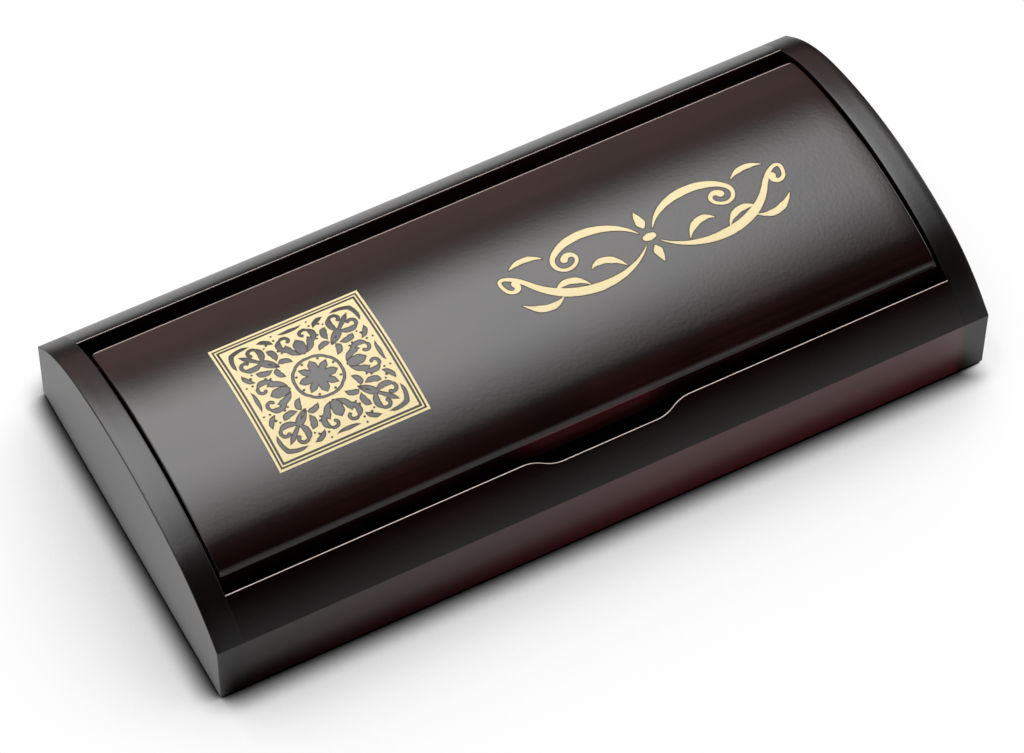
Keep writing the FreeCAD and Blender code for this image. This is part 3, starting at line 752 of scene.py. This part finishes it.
# The lid's front face is painted redder behind the finger notch: painted light, where the notch lets light in
# onto it
NOTCH_LIGHT = ((0.40, 0.0), (0.44, 1.0), (0.57, 1.0), (0.61, 0.0))
BOARD_LACQUER = lacquered_wood(
    "lacquered_hardwood_boards", deep="#060302", warm="#140907", lit_face_red="#461B1E", red_faces="ABSOLUTE",
    red_along=TO_THE_JOINT, grain="X", softness=0.15)
END_LACQUER = lacquered_wood(
    "lacquered_hardwood_ends", deep="#050302", warm="#100706", lit_face_red="#461B1E", red_faces="ABSOLUTE",
    red_along=TO_THE_JOINT, grain="Y", softness=0.27)
LID_LACQUER = lacquered_wood(
    "lacquered_hardwood_lid", deep="#0A0403", warm="#200D0B", lit_face_red="#46181A", red_faces="MULTIPLY",
    red_along=NOTCH_LIGHT, grain="X", softness=0.17)
GOLD = gold_paint()
LINING_FELT = felt("black_velvet_felt_lining", "#121114", "#252329")
BASE_FELT = felt("black_felt_base", "#161618", "#2A2A2D")
BRASS = drawn_brass()
BEECH = bare_beech()


# ---------------------------------------------------------------- pieces
def painted(piece, material):
    """Gives a piece this material and no other."""
    piece.data.materials.clear()
    piece.data.materials.append(material)


def placed(piece, body, material, slot, *nodes):
    """Gives a piece its material and the body it rides on, and hides the model nodes it stands for. slot is
    not used.
    """
    painted(piece, material)
    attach(piece, body)
    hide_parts(*nodes)


ramp_x = np.linspace(0, NOTCH_RAMP, 25)
notch_x = np.concatenate([-(NOTCH_FLAT / 2 + NOTCH_RAMP) + ramp_x, NOTCH_FLAT / 2 + ramp_x]) + NOTCH_OFFSET
front_x = np.concatenate([[-INNER_X], notch_x, [INNER_X]])
placed(long_board("front_rail", -HALF_WIDTH, INNER_FRONT, front_x, notch_depth(front_x), glinted=1.0),
       "case", BOARD_LACQUER, "case_wood", "front_board")
back_x = np.linspace(-INNER_X, INNER_X, 12)
placed(long_board("back_rail", HALF_WIDTH, INNER_BACK, back_x, np.zeros_like(back_x), glinted=0.55),
       "case", BOARD_LACQUER, "case_wood", "back_board")
placed(end_board("left_end_board", -1), "case", END_LACQUER, "case_wood", "left_end")
placed(end_board("right_end_board", 1), "case", END_LACQUER, "case_wood", "right_end")
placed(lid_board("curved_lid"), "lid", LID_LACQUER, "lid_wood", "lid_panel")

placed(inlay("crest_gold", crest_field, CREST_CENTRE, CREST_HALF.x, CREST_HALF.y, step=0.17 * MM,
             lift=0.03 * MM, depth=0.25 * MM), "lid", GOLD, "gold_fill", "crest_fill")
placed(inlay("swash_gold", swash_field, SCROLL_CENTRE, SCROLL_HALF.x, SCROLL_HALF.y, step=0.16 * MM,
             lift=0.03 * MM, depth=0.25 * MM), "lid", GOLD, "gold_fill", "scroll_fill")

linings = (("floor_lining", 0.05), ("front_lining", 0.04), ("back_lining", 0.04), ("left_lining", 0.04),
           ("right_lining", 0.04))
for number, (part, wave) in enumerate(linings):
    low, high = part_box(part)
    placed(soft_block(part + "_felt", low, high, radius=0.45 * MM, wave=wave * MM, seed=number),
           "case", LINING_FELT, "lining_felt", part)
low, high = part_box("base_felt")
placed(soft_block("base_felt_pad", low, high, radius=0.3 * MM, wave=0.03 * MM, seed=9),
       "case", BASE_FELT, "base_felt", "base_felt")

for material, parts in ((BOARD_LACQUER, ("lid_rest_left", "lid_rest_right")),
                        (BRASS, ("pivot_pin_left", "pivot_pin_right")),
                        (BEECH, ("bottom_panel", "corner_dowels"))):
    for part in parts:
        painted(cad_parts[part], material)


# ---------------------------------------------------------------- table
TABLE_HALF = 4.0
SKY_LEAN = (0.25, 0.37, 0.89)          # where the middle of the sky stands: to the back right
SHADE_REACH = 80 * MM                  # a thing shades the table from this far
TOUCH_REACH = 7 * MM                   # and darkens the slit under it from this far
# Brightness of the paper over the share of open sky that a spot sees, for either reach
SHADE_TONES = ((0.42, 0.50), (0.48, 0.60), (0.50, 0.65), (0.575, 0.74), (0.65, 0.82), (0.74, 0.92),
               (0.81, 0.975), (0.86, 1.0))
CONTACT_TONES = ((0.5, 0.0), (0.59, 0.14), (0.68, 0.31), (0.85, 0.70), (0.97, 1.0))
SLIT_TONE = 0.05                       # contact tones darker than this belong to the slit
RIGHT_TONE = 0.885                     # painted brightness of the paper past the right end of the box
MIRROR_SPAN = 0.2                      # half the length over which the next powers run
# Half the power of the tone that a mirror image of the paper shows, over that length
MIRROR_POWERS = ((0.25, 0.09), (0.262, 1.05), (0.735, 1.05), (0.76, 0.6))


def table_top():
    """Matt white table. It shows as white paper with a painted shade, the soft shade that the box casts on
    it.

    The painted shade is the share of the sky that a spot sees, with the sky leaning to the back right, where
    the big soft box hangs, times the share that it sees close by. Past the right end the paper is painted
    lit, as the lamp there would light it.
    For mirror rays the paper is painted at another contrast, a painted reflection: weak to the left of the
    box and strong before it and behind. That painted image is dimmer and fades far behind the box and far to
    its right, where less light falls on the table.
    """
    material, tree, output = new_material("matt_white_table")
    sky = node(tree, "ShaderNodeCombineXYZ", {"X": SKY_LEAN[0], "Y": SKY_LEAN[1], "Z": SKY_LEAN[2]})
    shade = node(tree, "ShaderNodeAmbientOcclusion", {"Distance": SHADE_REACH, "Normal": sky.outputs[0]},
                 samples=16)
    touch = node(tree, "ShaderNodeAmbientOcclusion", {"Distance": TOUCH_REACH}, samples=16)
    soft = node(tree, "ShaderNodeValToRGB", {"Fac": shade.outputs["AO"]}, stops=greys(SHADE_TONES))
    close = node(tree, "ShaderNodeValToRGB", {"Fac": touch.outputs["AO"]}, stops=greys(CONTACT_TONES))
    cast = node(tree, "ShaderNodeMath", {0: soft.outputs["Color"], 1: close.outputs["Color"]},
                operation="MULTIPLY")
    place = node(tree, "ShaderNodeSeparateXYZ", {0: node(tree, "ShaderNodeTexCoord").outputs["Object"]})
    # Painted light: past the right end the paper is painted bright, as the lamp to the right leaves no shade
    # on its own side of the box, but for the slit under the boards
    lit = node(tree, "ShaderNodeMapRange", {"Value": place.outputs["X"], "From Min": HALF_LENGTH - 8 * MM,
                                            "From Max": HALF_LENGTH + 2 * MM, "To Max": RIGHT_TONE},
               interpolation_type="SMOOTHSTEP")
    slit = node(tree, "ShaderNodeMapRange", {"Value": close.outputs["Color"], "From Max": SLIT_TONE})
    glow = node(tree, "ShaderNodeMath", {0: lit.outputs[0], 1: slit.outputs[0]}, operation="MULTIPLY")
    tone = node(tree, "ShaderNodeMath", {0: cast.outputs[0], 1: glow.outputs[0]}, operation="MAXIMUM")
    along = node(tree, "ShaderNodeMapRange", {"Value": place.outputs["X"], "From Min": -MIRROR_SPAN,
                                              "From Max": MIRROR_SPAN})
    power = node(tree, "ShaderNodeValToRGB", {"Fac": along.outputs[0]}, stops=greys(MIRROR_POWERS))
    bent = node(tree, "ShaderNodeMath", {0: power.outputs["Color"], 1: 2.0}, operation="MULTIPLY")
    mirrored = node(tree, "ShaderNodeMath", {0: tone.outputs[0], 1: bent.outputs[0]}, operation="POWER")
    far = node(tree, "ShaderNodeMapRange", {"Value": place.outputs["Y"], "From Min": 0.096, "From Max": 0.14,
                                            "To Min": 0.71, "To Max": 0.05}, interpolation_type="SMOOTHSTEP")
    right = node(tree, "ShaderNodeMapRange", {"Value": place.outputs["X"], "From Min": 0.11, "From Max": 0.14,
                                              "To Min": 1.15, "To Max": 0.15},
                 interpolation_type="SMOOTHSTEP")
    dim = node(tree, "ShaderNodeMath", {0: far.outputs[0], 1: right.outputs[0]}, operation="MULTIPLY")
    image = node(tree, "ShaderNodeMath", {0: mirrored.outputs[0], 1: dim.outputs[0]}, operation="MULTIPLY")
    ray = node(tree, "ShaderNodeLightPath")
    seen_tone = node(tree, "ShaderNodeMix", {"Factor": ray.outputs["Is Camera Ray"], "A": image.outputs[0],
                                             "B": tone.outputs[0]})
    paper = node(tree, "ShaderNodeEmission", {"Color": WHITE, "Strength": seen_tone.outputs["Result"]})
    matt = node(tree, "ShaderNodeBsdfDiffuse", {"Color": colour("#EFEFEF")})
    seen = node(tree, "ShaderNodeMath", {0: ray.outputs["Is Camera Ray"], 1: ray.outputs["Is Glossy Ray"]},
                operation="MAXIMUM")
    shown = node(tree, "ShaderNodeMath", {0: seen.outputs[0], 1: ray.outputs["Is Transmission Ray"]},
                 operation="MAXIMUM")
    mix = node(tree, "ShaderNodeMixShader", {0: shown.outputs[0], 1: matt.outputs[0], 2: paper.outputs[0]})
    tree.links.new(mix.outputs[0], output.inputs["Surface"])
    return material


table_mesh = bpy.data.meshes.new("table")
table_corners = [(x * TABLE_HALF, y * TABLE_HALF, 0) for x, y in ((-1, -1), (1, -1), (1, 1), (-1, 1))]
table_mesh.from_pydata(table_corners, [], [(0, 1, 2, 3)])
table_mesh.materials.append(table_top())
table = bpy.data.objects.new("table", table_mesh)
bpy.context.scene.collection.objects.link(table)


# ---------------------------------------------------------------- light
# Where each edge of the soft box goes from dark to bright: leans in front and behind, shares of X at its ends
SOFT_FRONT = (math.radians(-8.5), math.radians(18.5))
SOFT_BACK = (math.radians(62.3), math.radians(42.3))
SOFT_LEFT = (-0.25, -0.05)
SOFT_RIGHT = (0.47, 0.29)
SOFT_SKEW = (-0.22, 0.3)                # how its front and back edges slant along X
SOFT_LEVEL = 5.8
# Brightness of the walls over Z, the sine of the height above the horizon
BACK_WALL = ((0.0, 0.50), (0.2, 0.68), (0.45, 0.84), (0.62, 0.0))
FRONT_WALL = ((0.15, 0.85), (0.74, 0.0))


def studio():
    """Studio around the table: a long soft box above and behind, pale walls to eye height, a dark ceiling.

    A direction is told by its lean from straight up towards the back, and by its share along X. The soft box
    has soft edges and narrows a little to the right. The wall in front is brighter to the right, and the one
    behind is faintly warm and darker to the right.
    """
    world = bpy.data.worlds.new("studio")
    world.use_nodes = True
    tree = world.node_tree
    tree.nodes.clear()
    output = node(tree, "ShaderNodeOutputWorld")
    way = node(tree, "ShaderNodeSeparateXYZ", {0: node(tree, "ShaderNodeTexCoord").outputs["Generated"]})
    lean = node(tree, "ShaderNodeMath", {0: way.outputs["Y"], 1: way.outputs["Z"]}, operation="ARCTAN2")
    front, back = (node(tree, "ShaderNodeMath", {0: way.outputs["X"], 1: skew, 2: lean.outputs[0]},
                        operation="MULTIPLY_ADD").outputs[0] for skew in SOFT_SKEW)
    box = None
    for value, (dark, bright) in ((front, SOFT_FRONT), (back, SOFT_BACK), (way.outputs["X"], SOFT_LEFT),
                                  (way.outputs["X"], SOFT_RIGHT)):
        edge = node(tree, "ShaderNodeMapRange", {"Value": value, "From Min": dark, "From Max": bright},
                    interpolation_type="SMOOTHSTEP")
        box = edge.outputs[0] if box is None else node(tree, "ShaderNodeMath", {0: box, 1: edge.outputs[0]},
                                                       operation="MULTIPLY").outputs[0]
    back_wall = node(tree, "ShaderNodeValToRGB", {"Fac": way.outputs["Z"]}, stops=greys(BACK_WALL))
    front_wall = node(tree, "ShaderNodeValToRGB", {"Fac": way.outputs["Z"]}, stops=greys(FRONT_WALL))
    front_right = node(tree, "ShaderNodeMapRange", {"Value": way.outputs["X"], "From Min": 0.17,
                                                    "From Max": 0.36, "To Min": 0.8, "To Max": 1.35})
    back_right = node(tree, "ShaderNodeMapRange", {"Value": way.outputs["X"], "From Min": 0.27,
                                                   "From Max": 0.5, "To Min": 1.0, "To Max": 0.25})
    front_level, back_level = (
        node(tree, "ShaderNodeMath", {0: wall.outputs["Color"], 1: share.outputs[0]}, operation="MULTIPLY")
        for wall, share in ((front_wall, front_right), (back_wall, back_right)))
    behind = node(tree, "ShaderNodeMapRange", {"Value": way.outputs["Y"], "From Min": -0.3, "From Max": 0.3})
    walls = node(tree, "ShaderNodeMix", {"Factor": behind.outputs[0], "A": front_level.outputs[0],
                                         "B": back_level.outputs[0]})
    warm = node(tree, "ShaderNodeMix", {"Factor": behind.outputs[0], "A": WHITE, "B": colour("#FFDDD7")},
                data_type="RGBA")
    glow = node(tree, "ShaderNodeBackground", {"Color": warm.outputs["Result"],
                                               "Strength": walls.outputs["Result"]})
    level = node(tree, "ShaderNodeMath", {0: box, 1: SOFT_LEVEL}, operation="MULTIPLY")
    lamp = node(tree, "ShaderNodeBackground", {"Color": WHITE, "Strength": level.outputs[0]})
    lights = node(tree, "ShaderNodeAddShader", {0: glow.outputs[0], 1: lamp.outputs[0]})
    backdrop = node(tree, "ShaderNodeBackground", {"Color": WHITE, "Strength": 1.0})
    ray = node(tree, "ShaderNodeLightPath")
    mix = node(tree, "ShaderNodeMixShader", {0: ray.outputs["Is Camera Ray"], 1: lights.outputs[0],
                                             2: backdrop.outputs[0]})
    tree.links.new(mix.outputs[0], output.inputs["Surface"])
    return world


bpy.context.scene.world = studio()


def soft_lamp(name, place, width, height, strength):
    """Lamp with a soft rectangular front, turned to the origin. strength 1 is the radiance of white paper."""
    data = bpy.data.lights.new(name, "AREA")
    data.shape = "RECTANGLE"
    data.size = width
    data.size_y = height
    data.energy = strength * width * height * math.pi
    lamp = bpy.data.objects.new(name, data)
    lamp.location = place
    lamp.rotation_euler = (-Vector(place)).to_track_quat("-Z", "Y").to_euler()
    bpy.context.scene.collection.objects.link(lamp)


soft_lamp("left_soft_box", place=(-0.95, 0.45, 0.9), width=0.9, height=0.9, strength=2.5)
soft_lamp("right_soft_box", place=(1.2, 0.3, 0.7), width=0.8, height=0.9, strength=2.8)

# ---------------------------------------------------------------- camera
AIM = Vector((-7.3, -12.4, 20.8)) * MM
LOOK = Vector((0.2747, 0.5077, -0.8166)).normalized()
DISTANCE = 1.1168
ROLL = math.radians(0.54)
camera_data = bpy.data.cameras.new("camera")
camera_data.lens = 170.4
camera_data.sensor_width = 36.0
camera_data.clip_start = 0.05
camera_data.clip_end = 50
camera = bpy.data.objects.new("camera", camera_data)
facing_box = LOOK.to_track_quat("-Z", "Y").to_matrix().to_4x4()
camera.matrix_world = Matrix.Translation(AIM - LOOK * DISTANCE) @ facing_box @ Matrix.Rotation(ROLL, 4, "Z")
bpy.context.scene.collection.objects.link(camera)
bpy.context.scene.camera = camera
bpy.context.scene.view_settings.view_transform = "Standard"
